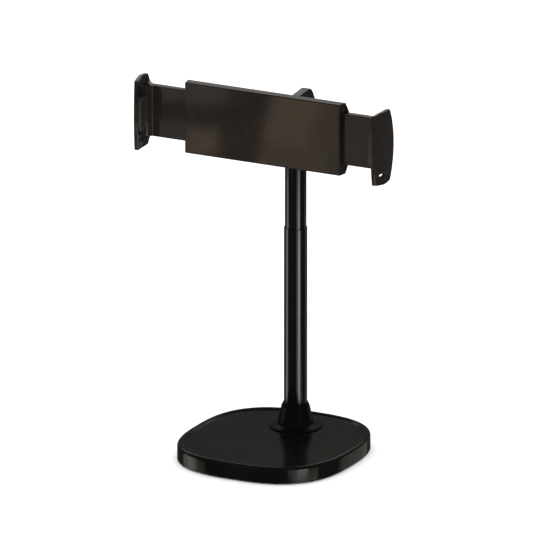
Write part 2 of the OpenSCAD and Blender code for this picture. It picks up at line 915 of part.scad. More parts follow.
// The sliding arm with its rack, and the jaw. The toothed finger passes behind the other arm's skin.
module jaw_arm(slot_at) {
    half = arm_h / 2;
    inner_x = jaw_reach - jaw_wall - jaw_rear_in;
    difference() {
        union() {
            intersection() {
                plan_slab(band(jaw_plan(0), jaw_plan(jaw_wall)), 2 * jaw_half_h + 2);
                side_slab(0, jaw_reach + 1) jaw_side();
            }
            clamp_box([skin_end, inner_x + 1], [arm_front, skin_rear], [-half, half]);
            clamp_box([pocket_end, inner_x + 1], [arm_front, arm_rear], [-half, half]);
            clamp_box([skin_end, pocket_end + 1], [skin_rear - 1, split_depth + 1], [rack_root, half]);
            translate([0, front_y + split_depth, clamp_z])
                mirror([0, 1, 0])
                    rotate([90, 0, 0])
                        linear_extrude(arm_rear - split_depth)
                            polygon(rack_outline(finger_end, pocket_end + 1, half));
            jaw_arm_fillet(inner_x);
        }
        jaw_pad_shape();
        jaw_slot(slot_at);
    }
}

// Turns a shape half a turn about the clamp's front-to-back axis
module half_turn() {
    translate([0, 0, clamp_z])
        rotate([0, 180, 0]) translate([0, 0, -clamp_z]) children();
}

module right_jaw_arm() {
    color(black_plastic) jaw_arm(slot_z);
}

module right_jaw_pad() {
    color(rubber) jaw_pad_shape();
}

module left_jaw_arm() {
    color(black_plastic) half_turn() jaw_arm(-slot_z);
}

module left_jaw_pad() {
    color(rubber) half_turn() jaw_pad_shape();
}

base_cover();
base_weight();
bottom_plate();
foot_pad();
base_screws();
pole_bolt();
bolt_washer();
pole_plug();
lower_tube();
collar();
upper_tube();
mast_plug();
mast_ring();
swivel_bush();
thrust_washer();
neck_arm();
swivel_pin();
swivel_spring();
swivel_clip();
tilt_knuckle();
tilt_bolt();
tilt_nut();
tilt_washers();
turn_screw();
turn_washer();
turn_spring();
clamp_front();
clamp_back();
clamp_screws();
pinion();
pinion_spring();
right_jaw_arm();
right_jaw_pad();
left_jaw_arm();
left_jaw_pad();
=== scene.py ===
"""Looks of the desktop tablet stand: its visible pieces, their materials and a pale studio.

Lengths are in millimetres up to the point where a mesh is made, and in metres after it. The main places and
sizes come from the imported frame.
"""

import json
import math

import bmesh
import bpy
from mathutils import Matrix, Vector


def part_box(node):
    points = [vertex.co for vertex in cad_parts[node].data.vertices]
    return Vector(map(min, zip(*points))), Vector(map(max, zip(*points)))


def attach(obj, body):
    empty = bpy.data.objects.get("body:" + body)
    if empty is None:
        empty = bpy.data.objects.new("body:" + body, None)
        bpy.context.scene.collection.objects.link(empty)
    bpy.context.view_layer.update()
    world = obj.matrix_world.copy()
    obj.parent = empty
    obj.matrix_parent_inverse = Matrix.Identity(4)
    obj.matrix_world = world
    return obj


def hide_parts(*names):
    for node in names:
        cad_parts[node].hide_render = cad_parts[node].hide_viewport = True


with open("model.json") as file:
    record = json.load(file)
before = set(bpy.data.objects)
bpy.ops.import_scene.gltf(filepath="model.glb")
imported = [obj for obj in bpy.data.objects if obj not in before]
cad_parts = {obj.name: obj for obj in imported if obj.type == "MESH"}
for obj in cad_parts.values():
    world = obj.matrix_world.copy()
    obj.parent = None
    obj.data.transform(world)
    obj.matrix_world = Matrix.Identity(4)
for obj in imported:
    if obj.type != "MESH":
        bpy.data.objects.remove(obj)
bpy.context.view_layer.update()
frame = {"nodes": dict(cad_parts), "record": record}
MM = 0.001


# ---- Sizes ----


def limits(node):
    """A CAD node's lowest and highest corner in millimetres."""
    low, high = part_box(node)
    return low / MM, high / MM


cover_low, cover_high = limits("base_cover")
tube_low, tube_high = limits("lower_tube")
upper_low, upper_high = limits("upper_tube")
collar_low, collar_high = limits("collar")
neck_low = limits("neck_arm")[0]
knuckle_low, knuckle_high = limits("tilt_knuckle")
bolt_low, bolt_high = limits("tilt_bolt")
front_low, front_high = limits("clamp_front")
back_high = limits("clamp_back")[1]
jaw_low, jaw_high = limits("right_jaw_arm")
grip_low, grip_high = limits("right_jaw_pad")

# Base
BASE_W = cover_high.x - cover_low.x
BASE_D = cover_high.y - cover_low.y
BASE_H = cover_high.z
BASE_POWER = 2.74
BASE_ROUND = 2.5
BASE_ROUND_STEPS = 10
RIM_W = 4.6
RIM_SLOPE = 1.2
PANEL_Z = tube_low.z
COVER_WALL = 2.2
FOOT_T = 1
OUTLINE_STEPS = 288

# Mast
MAST_Y = (tube_low.y + tube_high.y) / 2
LOWER_R = (tube_high.x - tube_low.x) / 2
LOWER_BORE = LOWER_R - 0.6
LOWER_LIP = 0.22
UPPER_R = (upper_high.x - upper_low.x) / 2
UPPER_BORE = UPPER_R - 1
UPPER_LIP = 0.3
FLANGE_R = (collar_high.x - collar_low.x) / 2
COLLAR_FOOT_R = 14.2
COLLAR_NECK_R = 10.9
COLLAR_RISE = 1.3
COLLAR_SHOULDER = 3
COLLAR_BORE = LOWER_R + 0.05

# Clamp, with depths measured backwards from the housing's front face
CLAMP_Z = (front_low.z + front_high.z) / 2
FRONT_Y = front_low.y
PLATE_W = 132
PLATE_H = front_high.z - front_low.z
PLATE_T = back_high.y - front_low.y
SPLIT = front_high.y - front_low.y
END_FLARE = 2
FRONT_WALL = 3.5
CHAMFER_H = 8
CHAMFER_D = 4.5
HOUSING_EDGE = 0.9
SEAM_EDGE = 0.18
CHANNEL_EDGE = 0.4
ARM_H = 40.6
ARM_FRONT = 5
SKIN_REAR = SPLIT - 0.25
ARM_REAR = 10.5
CHANNEL_HALF = ARM_H / 2 + 0.25
CHANNEL_REAR = ARM_REAR + 0.25
SCREW_X = 54
SCREW_Z = 22.8
SCREW_SEAT = 8.8
SCREW_HOLE_R = 2.5
SCREW_HOLE_DEPTH = 8

# Jaws
REACH = jaw_high.x
JAW_WALL = 3.2
JAW_FRONT_Y = jaw_low.y
JAW_REAR_Y = jaw_high.y
JAW_MIDDLE_Y = (JAW_FRONT_Y + JAW_REAR_Y) / 2 - 0.6
JAW_STEPS = 360
JAW_CORNERS = 80
JAW_EDGE = 0.7
CREASE_Y = FRONT_Y - 1.5
CREASE_HALF = 0.35
FRONT_IN = 2.7
REAR_IN = 0.6
JAW_HALF_H = 28.9
JAW_END_R = 55
JAW_FRONT_R = 225
JAW_REAR_R = 61
JAW_FILLET = 7
SLOT_Y = FRONT_Y - 3.9
SLOT_DROP = 21
SLOT_L = 7.7
SLOT_R = 1.1
SLOT_MOUTH = 3.2
FINGER_END = -8
SKIN_END = 33
POCKET_END = 68
ARM_ROOT = 4
PITCH_R = 10
RACK_TEETH = 13
RACK_PITCH = math.pi
RACK_PLAY = 0.3
RACK_TIP = PITCH_R - 0.95
RACK_ROOT = PITCH_R + 1.25
PRESSURE_SLOPE = math.tan(math.radians(20))
PAD_T = 3.6
PAD_SUNK = 0.8
PAD_CORNER = 4
PAD_EDGE = 1.1

# Neck and tilt joint
TILT_Y = (bolt_low.y + bolt_high.y) / 2
NECK_W = 7.2
NECK_T = 8
NECK_EDGE = 1
HUB_Z = neck_low.z
HUB_R = 9.2
HUB_H = 7
HUB_BORE = 4.5
# The neck's corners, as distances behind the mast and heights, and how tightly it bends at the inner three
NECK_FOOT = (0, HUB_Z + 2)
NECK_ROOT = (0, HUB_Z + 9.6)
BULGE = (31.6, CLAMP_Z - 14.8)
KNEE = (18.2, CLAMP_Z + 9)
ARM_END = (TILT_Y - MAST_Y, CLAMP_Z + 5)
NECK_BENDS = (8, 8, 4.2)
EYE_R = 7
DISC_R = (knuckle_high.x - knuckle_low.x) / 2
DISC_Y = knuckle_low.y
DISC_T = 4
DISC_EDGE = 0.7
CHEEK_IN = NECK_W / 2 + 0.55
CHEEK_T = 3.6
CHEEK_EDGE = 0.6
CHEEK_ROOT = 1.5
BOLT_R = 2.5

# Meshes: points closer than this become one, and cuts are this exact
WELD = 0.002
CUT_TOLERANCE = 1e-4

# Camera: how far it stands to the right of the front and above the level, and how much it takes in
CAMERA_TURN = math.radians(27)
CAMERA_RISE = math.radians(17.5)
CAMERA_LENS = 1200
CAMERA_SENSOR = 36
CAMERA_WIDTH = 409.06
AIM_RIGHT = -5.68
AIM_UP = 143.68


# ---- Outlines ----


def superellipse(inset):
    """The base's outline, moved in by an inset."""
    points = []
    for i in range(OUTLINE_STEPS):
        turn = math.tau * i / OUTLINE_STEPS
        c, s = math.cos(turn), math.sin(turn)
        points.append((
            (BASE_W / 2 - inset) * math.copysign(abs(c) ** (2 / BASE_POWER), c),
            (BASE_D / 2 - inset) * math.copysign(abs(s) ** (2 / BASE_POWER), s),
        ))
    return points


def corner_arc(before, here, after, radius, steps):
    """The points that round a corner, each with the turn made up to it."""
    came, goes = (here - before).normalized(), (after - here).normalized()
    turn = math.atan2(came.x * goes.y - came.y * goes.x, came.dot(goes))
    start = here - came * radius * math.tan(abs(turn) / 2)
    side = math.copysign(1, turn)
    centre = start + Vector((-came.y, came.x)) * side * radius
    for k in range(steps + 1):
        arm = Matrix.Rotation(turn * k / steps, 2) @ (start - centre)
        yield tuple(centre + arm), turn * k / steps


def rounded(corners, steps=6):
    """A closed outline from corners (x, y, radius), each with its own rounding."""
    places = [Vector((x, y)) for x, y, _ in corners]
    points = []
    for i, (x, y, radius) in enumerate(corners):
        if radius == 0:
            points.append((x, y))
            continue
        before, after = places[i - 1], places[(i + 1) % len(places)]
        points += [point for point, _ in corner_arc(before, places[i], after, radius, steps)]
    return points


def circle_points(radius, steps):
    turns = [math.tau * i / steps for i in range(steps)]
    return [(radius * math.cos(turn), radius * math.sin(turn)) for turn in turns]


# ---- Meshes ----


def mesh_of(name, points, faces):
    """A mesh from points in millimetres, with its faces turned outwards."""
    mesh = bpy.data.meshes.new(name)
    mesh.from_pydata([Vector(p) * MM for p in points], [], faces)
    bm = bmesh.new()
    bm.from_mesh(mesh)
    bmesh.ops.recalc_face_normals(bm, faces=bm.faces)
    bm.to_mesh(mesh)
    bm.free()
    return mesh


def thing(name, data):
    """An object in the scene from a mesh, a curve, a light or a camera."""
    obj = bpy.data.objects.new(name, data)
    bpy.context.scene.collection.objects.link(obj)
    return obj


def rings(name, loops, closed=False):
    """A skin through loops of points; its ends are capped, or joined where it is closed."""
    n = len(loops[0])
    points = [p for loop in loops for p in loop]
    faces = []
    for k in range(len(loops) if closed else len(loops) - 1):
        low, high = k * n, (k + 1) % len(loops) * n
        faces += [(low + i, low + (i + 1) % n, high + (i + 1) % n, high + i) for i in range(n)]
    if not closed:
        faces += [tuple(range(n)), tuple(range(len(points) - n, len(points)))]
    return thing(name, mesh_of(name, points, faces))


def lathe(name, profile, steps=160, ring=True):
    """A turned piece on the mast's axis from a profile of (radius, height)."""
    loops = [
        [(x, MAST_Y + y, z) for x, y in circle_points(r, steps)]
        for r, z in profile
    ]
    return rings(name, loops, closed=ring)


def turned_along(name, profile, start, axis, steps=96, ring=False):
    """A turned piece on any axis: the profile is (radius, distance along the axis)."""
    turn = Vector((0, 0, 1)).rotation_difference(Vector(axis)).to_matrix()
    loops = [
        [Vector(start) + turn @ Vector((x, y, t)) for x, y in circle_points(r, steps)]
        for r, t in profile
    ]
    return rings(name, loops, closed=ring)


def prism(name, outline, place):
    """An outline swept between two ends: place(u, v, end) gives each point, with end 0 or 1."""
    return rings(name, [[place(u, v, end) for u, v in outline] for end in (0, 1)])


def applied(obj):
    """Makes the modifiers' result the piece's own mesh."""
    bpy.context.view_layer.update()
    result = bpy.data.meshes.new_from_object(obj.evaluated_get(bpy.context.evaluated_depsgraph_get()))
    obj.modifiers.clear()
    obj.data = result
    return obj


def bevelled(obj, width, segments=3, angle=35):
    """Rounds the edges that are sharper than an angle in degrees."""
    edge = obj.modifiers.new("edges", "BEVEL")
    edge.width = width * MM
    edge.segments = segments
    edge.limit_method = "ANGLE"
    edge.angle_limit = math.radians(angle)
    edge.use_clamp_overlap = True
    return obj


def combined(obj, others, operation):
    """Adds or takes away other pieces, which are used up."""
    for other in others:
        boolean = obj.modifiers.new("cut", "BOOLEAN")
        boolean.operation = operation
        boolean.solver = "EXACT"
        boolean.object = other
    applied(obj)
    for other in others:
        bpy.data.objects.remove(other)
    return obj


def smooth(obj):
    """Smooth shading that keeps flat faces flat and real corners sharp."""
    for polygon in obj.data.polygons:
        polygon.use_smooth = True
    obj.data.set_sharp_from_angle(angle=math.radians(38))
    weights = obj.modifiers.new("normals", "WEIGHTED_NORMAL")
    weights.keep_sharp = True
    weights.weight = 60


def plate(name, outline, holes, thickness, edge):
    """The draft of a flat plate with rounded edges and holes, in millimetres."""
    curve = bpy.data.curves.new(name, "CURVE")
    curve.dimensions = "2D"
    curve.fill_mode = "BOTH"
    curve.extrude = thickness / 2 - edge
    curve.bevel_depth = edge
    curve.bevel_resolution = 3
    curve.offset = -edge
    for loop in [outline, *holes]:
        spline = curve.splines.new("POLY")
        spline.points.add(len(loop) - 1)
        for point, (u, v) in zip(spline.points, loop):
            point.co = (u, v, 0, 1)
        spline.use_cyclic_u = True
    draft = thing(name, curve)
    bpy.context.view_layer.update()
    mesh = bpy.data.meshes.new_from_object(draft.evaluated_get(bpy.context.evaluated_depsgraph_get()))
    bpy.data.objects.remove(draft)
    bm = bmesh.new()
    bm.from_mesh(mesh)
    bmesh.ops.remove_doubles(bm, verts=bm.verts, dist=WELD)
    return bm, mesh


def placed(name, bm, mesh, place):
    """Ends a plate: its draft points, in millimetres, go to their places."""
    for vert in bm.verts:
        vert.co = Vector(place(*vert.co)) * MM
    bmesh.ops.recalc_face_normals(bm, faces=bm.faces)
    bm.to_mesh(mesh)
    bm.free()
    return thing(name, mesh)


# ---- Materials ----


class Shading:
    """A material's node tree, with the few node patterns that the materials share."""

    def __init__(self, name):
        self.material = bpy.data.materials.new(name)
        self.material.use_nodes = True
        self.tree = self.material.node_tree
        self.shader = self.tree.nodes["Principled BSDF"]
        self.place = self.tree.nodes.new("ShaderNodeTexCoord").outputs["Object"]

    def node(self, kind, **settings):
        made = self.tree.nodes.new(kind)
        for key, value in settings.items():
            setattr(made, key, value)
        return made

    def link(self, out, into):
        self.tree.links.new(out, into)

    def stretched(self, scale):
        mapping = self.node("ShaderNodeMapping")
        mapping.inputs["Scale"].default_value = scale
        self.link(self.place, mapping.inputs["Vector"])
        return mapping.outputs["Vector"]

    def noise(self, size, detail=3.0, source=None):
        """Noise whose features are about this many millimetres across."""
        made = self.node("ShaderNodeTexNoise")
        made.inputs["Scale"].default_value = 1 / (size * MM)
        made.inputs["Detail"].default_value = detail
        self.link(source or self.place, made.inputs["Vector"])
        return made.outputs["Fac"]

    def ranged(self, value, low, high, from_low=0.3, from_high=0.7):
        made = self.node("ShaderNodeMapRange")
        made.inputs["From Min"].default_value = from_low
        made.inputs["From Max"].default_value = from_high
        made.inputs["To Min"].default_value = low
        made.inputs["To Max"].default_value = high
        self.link(value, made.inputs["Value"])
        return made.outputs["Result"]

    def mixed(self, factor, first, second):
        made = self.node("ShaderNodeMix", data_type="RGBA")
        self.link(factor, made.inputs["Factor"])
        for socket, colour in (("A", first), ("B", second)):
            slot = [s for s in made.inputs if s.name == socket and s.type == "RGBA"][0]
            if isinstance(colour, tuple):
                slot.default_value = (*colour, 1)
            else:
                self.link(colour, slot)
        return [s for s in made.outputs if s.type == "RGBA"][0]

    def bump(self, height, depth, normal=None):
        """Relief whose full height is this many millimetres."""
        made = self.node("ShaderNodeBump")
        made.inputs["Strength"].default_value = 1
        made.inputs["Distance"].default_value = depth * MM
        self.link(height, made.inputs["Height"])
        if normal:
            self.link(normal, made.inputs["Normal"])
        return made.outputs["Normal"]


def scaled(colour, factor):
    return tuple(c * factor for c in colour)


def moulded(name, colour, roughness, spread, grain, relief, ior=1.5, tone=0.25, wave=0.0, dust=0.0):
    """Moulded plastic or rubber: tone and gloss vary slowly, with a fine grain and a slow waviness."""
    m = Shading(name)
    m.shader.inputs["IOR"].default_value = ior
    slow = m.ranged(m.noise(size=38, detail=2), 0, 1)
    body = m.mixed(slow, scaled(colour, 1 - tone), scaled(colour, 1 + tone))
    if dust:
        specks = m.ranged(m.noise(size=0.9, detail=1), 0, dust, from_low=0.74, from_high=0.8)
        body = m.mixed(specks, body, DUST)
    m.link(body, m.shader.inputs["Base Color"])
    gloss = m.ranged(m.noise(size=9, detail=4), roughness - spread, roughness + spread)
    m.link(gloss, m.shader.inputs["Roughness"])
    normal = m.bump(m.noise(grain, detail=2), relief)
    if wave:
        normal = m.bump(m.noise(size=16, detail=1), wave, normal)
    m.link(normal, m.shader.inputs["Normal"])
    return m.material


def metal(name, colour, roughness, spread, brushed=(1, 1, 1)):
    """Plated, blackened or bare steel, with brushing along one direction."""
    m = Shading(name)
    m.shader.inputs["Metallic"].default_value = 1
    grain = m.noise(size=1.2, source=m.stretched(brushed))
    tone = m.mixed(m.noise(size=6), scaled(colour, 0.85), scaled(colour, 1.1))
    m.link(tone, m.shader.inputs["Base Color"])
    m.link(m.ranged(grain, roughness - spread, roughness + spread), m.shader.inputs["Roughness"])
    m.link(m.bump(grain, depth=0.004), m.shader.inputs["Normal"])
    return m.material


def painted(name, dark, light, roughness, spread):
    """Gloss paint on a drawn tube: an even coat with a slight orange peel."""
    m = Shading(name)
    m.link(m.mixed(m.noise(size=30, detail=2), dark, light), m.shader.inputs["Base Color"])
    along_tube = m.stretched((1, 1, 0.25))
    gloss = m.ranged(m.noise(size=7, source=along_tube), roughness - spread, roughness + spread)
    m.link(gloss, m.shader.inputs["Roughness"])
    m.link(m.bump(m.noise(size=2.2, detail=2), depth=0.0012), m.shader.inputs["Normal"])
    return m.material


DUST = (0.35, 0.33, 0.31)
MOULDED = {
    "base_shell": {
        "colour": (0.0034, 0.0029, 0.0023), "roughness": 0.15, "spread": 0.02,
        "grain": 0.7, "relief": 0.0008, "ior": 1.3,
    },
    "collar_plastic": {
        "colour": (0.0020, 0.0022, 0.0026), "roughness": 0.26, "spread": 0.03,
        "grain": 0.6, "relief": 0.001, "ior": 1.2,
    },
    "neck_plastic": {
        "colour": (0.0060, 0.0052, 0.0045), "roughness": 0.24, "spread": 0.03,
        "grain": 0.6, "relief": 0.002, "ior": 1.55,
    },
    "clamp_gloss": {
        "colour": (0.0118, 0.0093, 0.0078), "roughness": 0.09, "spread": 0.015,
        "grain": 0.6, "relief": 0.0003, "ior": 1.55, "wave": 0.0012, "dust": 0.1,
    },
    "grip_pad": {
        "colour": (0.036, 0.032, 0.026), "roughness": 0.55, "spread": 0.05,
        "grain": 0.35, "relief": 0.012, "ior": 1.4,
    },
    "rubber_foot": {
        "colour": (0.012, 0.012, 0.012), "roughness": 0.85, "spread": 0.06,
        "grain": 0.5, "relief": 0.04,
    },
    "nylon": {
        "colour": (0.74, 0.72, 0.64), "roughness": 0.42, "spread": 0.05,
        "grain": 0.5, "relief": 0.006, "tone": 0.05,
    },
    "nylon_black": {
        "colour": (0.012, 0.012, 0.012), "roughness": 0.45, "spread": 0.05,
        "grain": 0.5, "relief": 0.006,
    },
}
PAINTED = {
    "black_tube": {
        "dark": (0.0022, 0.0021, 0.0026), "light": (0.0034, 0.0032, 0.0038),
        "roughness": 0.16, "spread": 0.03,
    },
}
METAL = {
    "steel_plate": {"colour": (0.42, 0.42, 0.43), "roughness": 0.42, "spread": 0.08, "brushed": (1, 0.05, 1)},
    "zinc_steel": {"colour": (0.6, 0.6, 0.62), "roughness": 0.28, "spread": 0.07, "brushed": (1, 1, 0.2)},
    "black_screw": {"colour": (0.035, 0.034, 0.034), "roughness": 0.36, "spread": 0.06},
}
MATERIALS = {
    name: make(name, **look)
    for make, looks in ((moulded, MOULDED), (painted, PAINTED), (metal, METAL))
    for name, look in looks.items()
}


def dress(obj, slot):
    """Gives a piece its material slot's material, in place of any other."""
    obj.data.materials.clear()
    obj.data.materials.append(MATERIALS[slot])


def finished(obj, body, slot, *nodes):
    """Ends a piece: smooth shading, its material, the body it rides on and the CAD nodes it stands for."""
    smooth(obj)
    dress(obj, slot)
    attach(obj, body)
    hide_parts(*nodes)


# ---- Camera ----


def camera_axes():
    turn, rise = CAMERA_TURN, CAMERA_RISE
    right = Vector((math.cos(turn), math.sin(turn), 0))
    up = Vector((-math.sin(turn) * math.sin(rise), math.cos(turn) * math.sin(rise), math.cos(rise)))
    return right, up, up.cross(right)


def make_camera():
    right, up, ahead = camera_axes()
    data = bpy.data.cameras.new("camera")
    data.lens = CAMERA_LENS
    data.sensor_width = CAMERA_SENSOR
    distance = CAMERA_WIDTH / CAMERA_SENSOR * CAMERA_LENS
    data.clip_end = 3 * distance * MM
    camera = thing("camera", data)
    aim = right * AIM_RIGHT + up * AIM_UP
    camera.matrix_world = Matrix.Translation((aim - ahead * distance) * MM) @ Matrix(
        (right, up, -ahead)
    ).transposed().to_4x4()
    bpy.context.scene.camera = camera


# ---- Base ----


def base_skin(name, profile):
    """A piece with the base's outline, from its profile of (inset from the outline, height)."""
    return rings(name, [[(x, y, z) for x, y in superellipse(inset)] for inset, z in profile])


def make_base_cover():
    bottom = cover_low.z
    ceiling = PANEL_Z - COVER_WALL
    inside = [
        (COVER_WALL + 3, ceiling), (COVER_WALL, ceiling - 0.6), (COVER_WALL, bottom + 0.3),
        (COVER_WALL - 0.3, bottom),
    ]
    lower_edge = [(0.55, bottom), (0.15, bottom + 0.15), (0, bottom + 0.5)]
    upper_edge = []
    for i in range(BASE_ROUND_STEPS + 1):
        a = math.pi / 2 * i / BASE_ROUND_STEPS
        upper_edge.append((BASE_ROUND * (1 - math.cos(a)), BASE_H - BASE_ROUND * (1 - math.sin(a))))
    rim = [(RIM_W - 0.35, BASE_H), (RIM_W - 0.1, BASE_H - 0.06), (RIM_W + 0.1, BASE_H - 0.22)]
    rim_foot = RIM_W + RIM_SLOPE
    panel = [
        (rim_foot - 0.2, PANEL_Z + 0.22), (rim_foot, PANEL_Z + 0.05), (rim_foot + 0.3, PANEL_Z),
        (rim_foot + 4, PANEL_Z),
    ]
    cover = base_skin("base_cover_shell", inside + lower_edge + upper_edge + rim + panel)
    finished(cover, "base", "base_shell", "base_cover")


def make_foot():
    edge = [(RIM_W + 0.4, 0), (RIM_W + 0.1, 0.12), (RIM_W, 0.4)]
    seam = [(RIM_W, FOOT_T - 0.1), (RIM_W + 0.2, FOOT_T)]
    foot = base_skin("foot_sheet", [(RIM_W + 3, 0), *edge, *seam])
    finished(foot, "base", "rubber_foot", "foot_pad")


# ---- Mast ----


def tube_profile(outer, inner, low, high, lip):
    """A tube's wall, with its mouth rolled over a little."""
    corners = [(inner, low, 0), (outer, low, 0), (outer, high, lip), (inner, high, lip)]
    return rounded(corners, 4)


def make_mast():
    lower = lathe("lower_tube_wall", tube_profile(LOWER_R, LOWER_BORE, tube_low.z, tube_high.z, LOWER_LIP))
    finished(lower, "base", "black_tube", "lower_tube")
    upper = lathe("upper_tube_wall", tube_profile(UPPER_R, UPPER_BORE, upper_low.z, upper_high.z, UPPER_LIP))
    finished(upper, "mast", "black_tube", "upper_tube")


def make_collar():
    low, high = collar_low.z, collar_high.z
    flange_z = low + COLLAR_RISE
    shoulder_z = high - COLLAR_SHOULDER
    profile = rounded([
        (COLLAR_BORE, low, 0), (FLANGE_R, low, 0.1), (FLANGE_R, flange_z, 0.6),
        (COLLAR_FOOT_R, flange_z + 0.35, 3.0), (COLLAR_NECK_R, shoulder_z, 1.6),
        (COLLAR_BORE + 0.35, high, 0.3), (COLLAR_BORE, high, 0),
    ], 7)
    finished(lathe("collar_bell", profile, steps=192), "base", "collar_plastic", "collar")


# ---- Neck ----


def neck_section(position, heading):
    """A round-edged section of the neck, square to its heading in the plane of its bends."""
    half_t, half_w = NECK_T / 2, NECK_W / 2
    corners = [
        (half_t, half_w, NECK_EDGE), (-half_t, half_w, NECK_EDGE),
        (-half_t, -half_w, NECK_EDGE), (half_t, -half_w, NECK_EDGE),
    ]
    back, rise = -math.sin(heading), math.cos(heading)
    return [(v, MAST_Y + position[0] + u * back, position[1] + u * rise) for u, v in rounded(corners)]


def neck_path():
    """The neck's centre line as (position, heading): straight runs, with an arc at each corner."""
    corners = [Vector(corner) for corner in (NECK_FOOT, NECK_ROOT, BULGE, KNEE, ARM_END)]
    heading = math.pi / 2
    path = [(NECK_FOOT, heading)]
    for before, here, after, bend in zip(corners, corners[1:], corners[2:], NECK_BENDS):
        path += [(point, heading + turn) for point, turn in corner_arc(before, here, after, bend, 16)]
        heading = path[-1][1]
    return path + [(ARM_END, heading)]


def bolt_bore(half_length):
    """What the tilt bolt's hole takes away, from one side of the clamp to the other."""
    profile = [(BOLT_R, 0), (BOLT_R, 2 * half_length)]
    return turned_along("bolt_bore", profile, (-half_length, TILT_Y, CLAMP_Z), (1, 0, 0))


def make_neck():
    bar = rings("neck_bar", [neck_section(*place) for place in neck_path()])
    hub_top = HUB_Z + HUB_H
    hub_profile = rounded([
        (HUB_BORE, HUB_Z, 0), (HUB_R, HUB_Z, 0.5), (HUB_R, hub_top - 2.4, 0.8),
        (HUB_R - 3.2, hub_top, 1.2), (HUB_BORE, hub_top, 0),
    ], 5)
    hub = lathe("neck_hub", hub_profile, steps=96, ring=False)
    eye_profile = [(EYE_R - 0.5, 0), (EYE_R - 0.15, 0.15), (EYE_R, 0.5)]
    eye_profile += [(r, NECK_W - t) for r, t in reversed(eye_profile)]
    eye = turned_along("neck_eye", eye_profile, (-NECK_W / 2, TILT_Y, CLAMP_Z), (1, 0, 0))
    combined(bar, [hub, eye], "UNION")
    combined(bar, [bolt_bore(10)], "DIFFERENCE")
    finished(bar, "neck", "neck_plastic", "neck_arm")


# ---- Tilt joint ----


def cheek_outline():
    """A fork cheek from the side, as (depth, height): a round eye on a foot that widens into the disc."""
    sunk = DISC_Y + DISC_T / 2
    foot = DISC_Y + DISC_T
    lower = [
        (sunk, CLAMP_Z - EYE_R - CHEEK_ROOT, 0), (foot, CLAMP_Z - EYE_R - CHEEK_ROOT, 0),
        (foot + 0.1, CLAMP_Z - EYE_R, 1.2), (TILT_Y, CLAMP_Z - EYE_R, 0),
        (TILT_Y + EYE_R, CLAMP_Z - EYE_R, EYE_R - 0.01),
    ]
    upper = [(y, 2 * CLAMP_Z - z, radius) for y, z, radius in reversed(lower)]
    return rounded([upper[-1], *lower, *upper[:-1]], 12)


def make_knuckle():
    profile = rounded([(2, 0, 0), (DISC_R, 0, DISC_EDGE), (DISC_R, DISC_T, DISC_EDGE), (2, DISC_T, 0)], 4)
    disc = turned_along("knuckle_disc", profile, (0, DISC_Y, CLAMP_Z), (0, 1, 0), 128)
    cheeks = []
    for near in (-CHEEK_IN - CHEEK_T, CHEEK_IN):
        cheek = prism("cheek", cheek_outline(), lambda y, z, end: (near + end * CHEEK_T, y, z))
        cheeks.append(applied(bevelled(cheek, CHEEK_EDGE)))
    combined(disc, cheeks, "UNION")
    combined(disc, [bolt_bore(20)], "DIFFERENCE")
    finished(disc, "knuckle", "neck_plastic", "tilt_knuckle")


# ---- Clamp housing ----


def housing_shell(name, outline):
    """A shell of the housing: its side outline runs across, and its ends flare towards the rear."""

    def place(depth, z, end):
        half = PLATE_W / 2 + END_FLARE / PLATE_T * depth
        return (half if end else -half, FRONT_Y + depth, CLAMP_Z + z)

    return prism(name, outline, place)


def make_clamp_front():
    half = PLATE_H / 2
    outline = rounded([
        (0, half, HOUSING_EDGE), (0, -half, HOUSING_EDGE),
        (SPLIT, -half, SEAM_EDGE), (SPLIT, -CHANNEL_HALF, 0),
        (FRONT_WALL, -CHANNEL_HALF, CHANNEL_EDGE), (FRONT_WALL, CHANNEL_HALF, CHANNEL_EDGE),
        (SPLIT, CHANNEL_HALF, 0), (SPLIT, half, SEAM_EDGE),
    ], 5)
    shell = bevelled(housing_shell("clamp_front_shell", outline), 0.7, segments=4)
    finished(applied(shell), "clamp", "clamp_gloss", "clamp_front")


def make_clamp_back():
    half = PLATE_H / 2
    outline = rounded([
        (SPLIT, half, SEAM_EDGE), (SPLIT, CHANNEL_HALF, 0), (CHANNEL_REAR, CHANNEL_HALF, CHANNEL_EDGE),
        (CHANNEL_REAR, -CHANNEL_HALF, CHANNEL_EDGE), (SPLIT, -CHANNEL_HALF, 0), (SPLIT, -half, SEAM_EDGE),
        (PLATE_T - CHAMFER_D, -half, HOUSING_EDGE), (PLATE_T, CHAMFER_H - half, HOUSING_EDGE),
        (PLATE_T, half - CHAMFER_H, HOUSING_EDGE), (PLATE_T - CHAMFER_D, half, HOUSING_EDGE),
    ], 5)
    shell = housing_shell("clamp_back_shell", outline)
    hole_profile = [(SCREW_HOLE_R, 0), (SCREW_HOLE_R, SCREW_HOLE_DEPTH)]
    holes = []
    for x in (-SCREW_X, 0, SCREW_X):
        for z in (-SCREW_Z, SCREW_Z):
            seat = (x, FRONT_Y + SCREW_SEAT, CLAMP_Z + z)
            holes.append(turned_along("counterbore", hole_profile, seat, (0, 1, 0), 48))
    combined(shell, holes, "DIFFERENCE")
    finished(applied(bevelled(shell, 0.3)), "clamp", "clamp_gloss", "clamp_back")


# ---- Jaws ----


